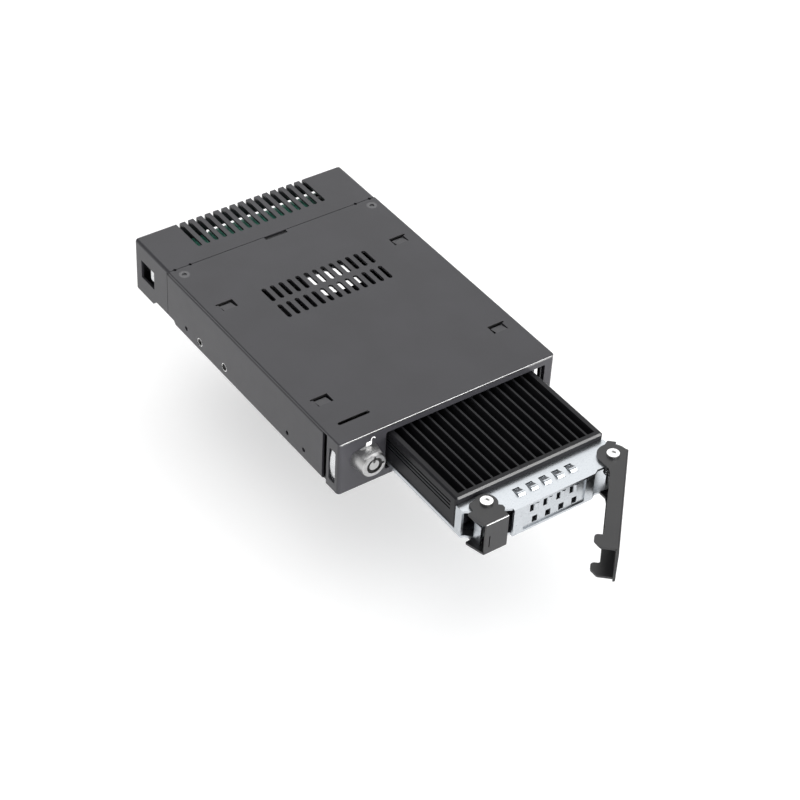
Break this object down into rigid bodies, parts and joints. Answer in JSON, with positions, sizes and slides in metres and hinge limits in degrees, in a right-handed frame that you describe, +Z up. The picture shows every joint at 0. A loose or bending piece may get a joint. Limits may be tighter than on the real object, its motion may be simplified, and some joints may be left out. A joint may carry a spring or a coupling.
{
  "type": "removable ssd enclosure",
  "caption": "Folded-steel drive-bay enclosure with a lock and a slide-out tray that has a finned heat sink, louvred bracket, swing lever and catch.",
  "frame": {"origin": "centre of the enclosure's underside, midway between the bezel's face and the rear wall", "axes": "+X to the right seen from the front, +Y from the bezel to the rear, +Z up"},
  "size_m": [0.1016, 0.2488, 0.025],
  "materials": {
    "charcoal_paint": "satin fine-texture powder coat",
    "lever_paint": "satin black powder coat",
    "black_anodised": "black anodised, machined fins",
    "zinc_sheet": "zinc-plated sheet, fine grain",
    "spring_steel": "bright spring steel",
    "black_screws": "black zinc screws",
    "bright_screws": "nickel-plated steel",
    "brass": "plain",
    "chrome": "polished",
    "green_board": "solder mask",
    "black_plastic": "moulded",
    "capacitor_can": "can",
    "grey_pad": "soft silicone pad"
  },
  "bodies": {
    "chassis": {"bottom_chassis": "charcoal_paint", "top_cover": "charcoal_paint", "rear_cover": "charcoal_paint", "front_bezel": "charcoal_paint", "ground_springs": "spring_steel", "side_clips": "spring_steel", "side_nuts": "bright_screws", "tray_guide_left": "black_plastic", "tray_guide_right": "black_plastic", "main_board": "green_board", "board_standoffs": "brass", "board_screws": "bright_screws", "board_chips": "black_plastic", "board_capacitors": "capacitor_can", "tray_socket": "black_plastic", "data_connector": "zinc_sheet", "power_connector": "black_plastic", "cover_screws": "black_screws", "bezel_screws": "black_screws", "guide_screws": "black_screws", "rear_screws": "black_screws", "lock_housing": "chrome", "lock_nut": "chrome"},
    "lock_core": {"lock_plug": "chrome", "lock_cam": "bright_screws", "cam_screw": "bright_screws"},
    "tray": {"heat_sink": "black_anodised", "thermal_pad": "grey_pad", "tray_pan": "zinc_sheet", "front_bracket": "zinc_sheet", "tray_board": "green_board", "m2_socket": "black_plastic", "ssd_standoff": "bright_screws", "ssd_screw": "bright_screws", "tray_board_screws": "bright_screws", "tray_plug": "black_plastic", "heat_sink_screws": "bright_screws", "bracket_screws": "bright_screws", "lever_pivot": "bright_screws", "catch_pivot": "bright_screws", "lever_spring": "spring_steel", "catch_spring": "spring_steel"},
    "lever": {"lever": "lever_paint"},
    "catch": {"catch": "lever_paint"}
  },
  "joints": [
    {"name": "tray_slide", "type": "slide", "parent": "chassis", "child": "tray", "axis": [0, -1, 0], "range_m": [-0.0575, 0.065]},
    {"name": "lever_hinge", "type": "hinge", "parent": "tray", "child": "lever", "pos_m": [0.0375, -0.1294, 0.0114], "axis": [0, 0, 1], "range_deg": [-47, 0], "stiffness_Nm_per_rad": 0.01},
    {"name": "catch_hinge", "type": "hinge", "parent": "tray", "child": "catch", "pos_m": [-0.0186, -0.1249, 0.0114], "axis": [0, 0, 1], "range_deg": [-12, 0], "stiffness_Nm_per_rad": 0.02},
    {"name": "lock_turn", "type": "hinge", "parent": "chassis", "child": "lock_core", "pos_m": [-0.0391, -0.076, 0.0147], "axis": [0, -1, 0], "range_deg": [0, 90]}
  ]
}
